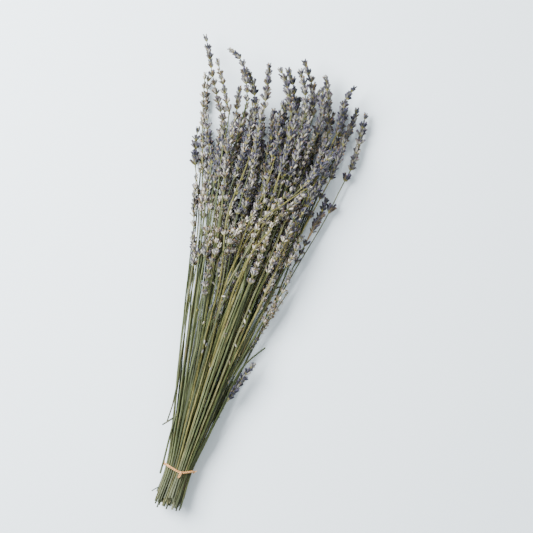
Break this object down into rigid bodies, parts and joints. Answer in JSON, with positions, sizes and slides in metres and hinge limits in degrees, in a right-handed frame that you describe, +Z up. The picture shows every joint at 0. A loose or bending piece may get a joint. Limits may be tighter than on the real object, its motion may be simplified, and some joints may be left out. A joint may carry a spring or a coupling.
{
  "type": "bunch of dried lavender",
  "caption": "Dried lavender stalks with whorled flower spikes, fanned out and tied with a thin band near the cut ends; the bunch lies on its side.",
  "frame": {"origin": "on the surface the bunch lies on, under the middle of its bounding box", "axes": "+Y along the stems from the cut ends to the flower heads, +Z up from the surface, +X across the bunch"},
  "size_m": [0.1724, 0.4486, 0.0496],
  "materials": {
    "stem": "dry, matt, olive green stems",
    "florets_violet": "dry, papery, grey violet buds",
    "florets_pale": "dry, papery, pale lilac grey buds",
    "florets_dark": "dry, papery, dark violet buds",
    "tie": "matt, tan, twisted rubber"
  },
  "bodies": {
    "root": {"flower_spike_01": "florets_pale", "flower_spike_02": "florets_dark", "flower_spike_05": "florets_dark", "flower_spike_06": "florets_violet", "flower_spike_08": "florets_dark", "flower_spike_09": "florets_violet", "flower_spike_10": "florets_pale", "flower_spike_11": "florets_dark", "flower_spike_12": "florets_violet", "flower_spike_13": "florets_pale", "flower_spike_14": "florets_dark", "flower_spike_15": "florets_violet", "flower_spike_17": "florets_dark", "flower_spike_19": "florets_pale", "flower_spike_20": "florets_dark", "flower_spikes_03": "florets_violet", "flower_spikes_04": "florets_pale", "flower_spikes_07": "florets_pale", "flower_spikes_16": "florets_pale", "flower_spikes_18": "florets_violet", "flower_spikes_21": "florets_violet", "flower_spikes_22": "florets_pale", "flower_spikes_23": "florets_dark", "flower_spikes_24": "florets_violet", "flower_spikes_25": "florets_pale", "flower_spikes_26": "florets_dark", "flower_spikes_27": "florets_violet", "flower_spikes_28": "florets_pale", "flower_spikes_29": "florets_dark", "flower_spikes_30": "florets_violet", "flower_spikes_31": "florets_pale", "flower_spikes_32": "florets_dark", "flower_spikes_33": "florets_violet", "flower_spikes_34": "florets_pale", "flower_spikes_35": "florets_dark", "flower_spikes_36": "florets_violet", "flower_spikes_37": "florets_pale", "flower_spikes_38": "florets_dark", "flower_spikes_39": "florets_violet", "flower_spikes_40": "florets_pale", "flower_spikes_41": "florets_dark", "flower_spikes_42": "florets_violet", "flower_spikes_43": "florets_pale", "flower_spikes_44": "florets_dark", "flower_spikes_45": "florets_violet", "flower_spikes_46": "florets_pale", "flower_spikes_47": "florets_dark", "flower_spikes_48": "florets_violet", "flower_spikes_49": "florets_pale", "flower_spikes_50": "florets_dark", "flower_spikes_51": "florets_violet", "flower_spikes_52": "florets_pale", "flower_spikes_53": "florets_dark", "flower_spikes_54": "florets_violet", "flower_spikes_55": "florets_pale", "flower_spikes_56": "florets_dark", "flower_spikes_57": "florets_violet", "flower_spikes_58": "florets_pale", "stems": "stem", "tie_band": "tie"}
  },
  "joints": []
}
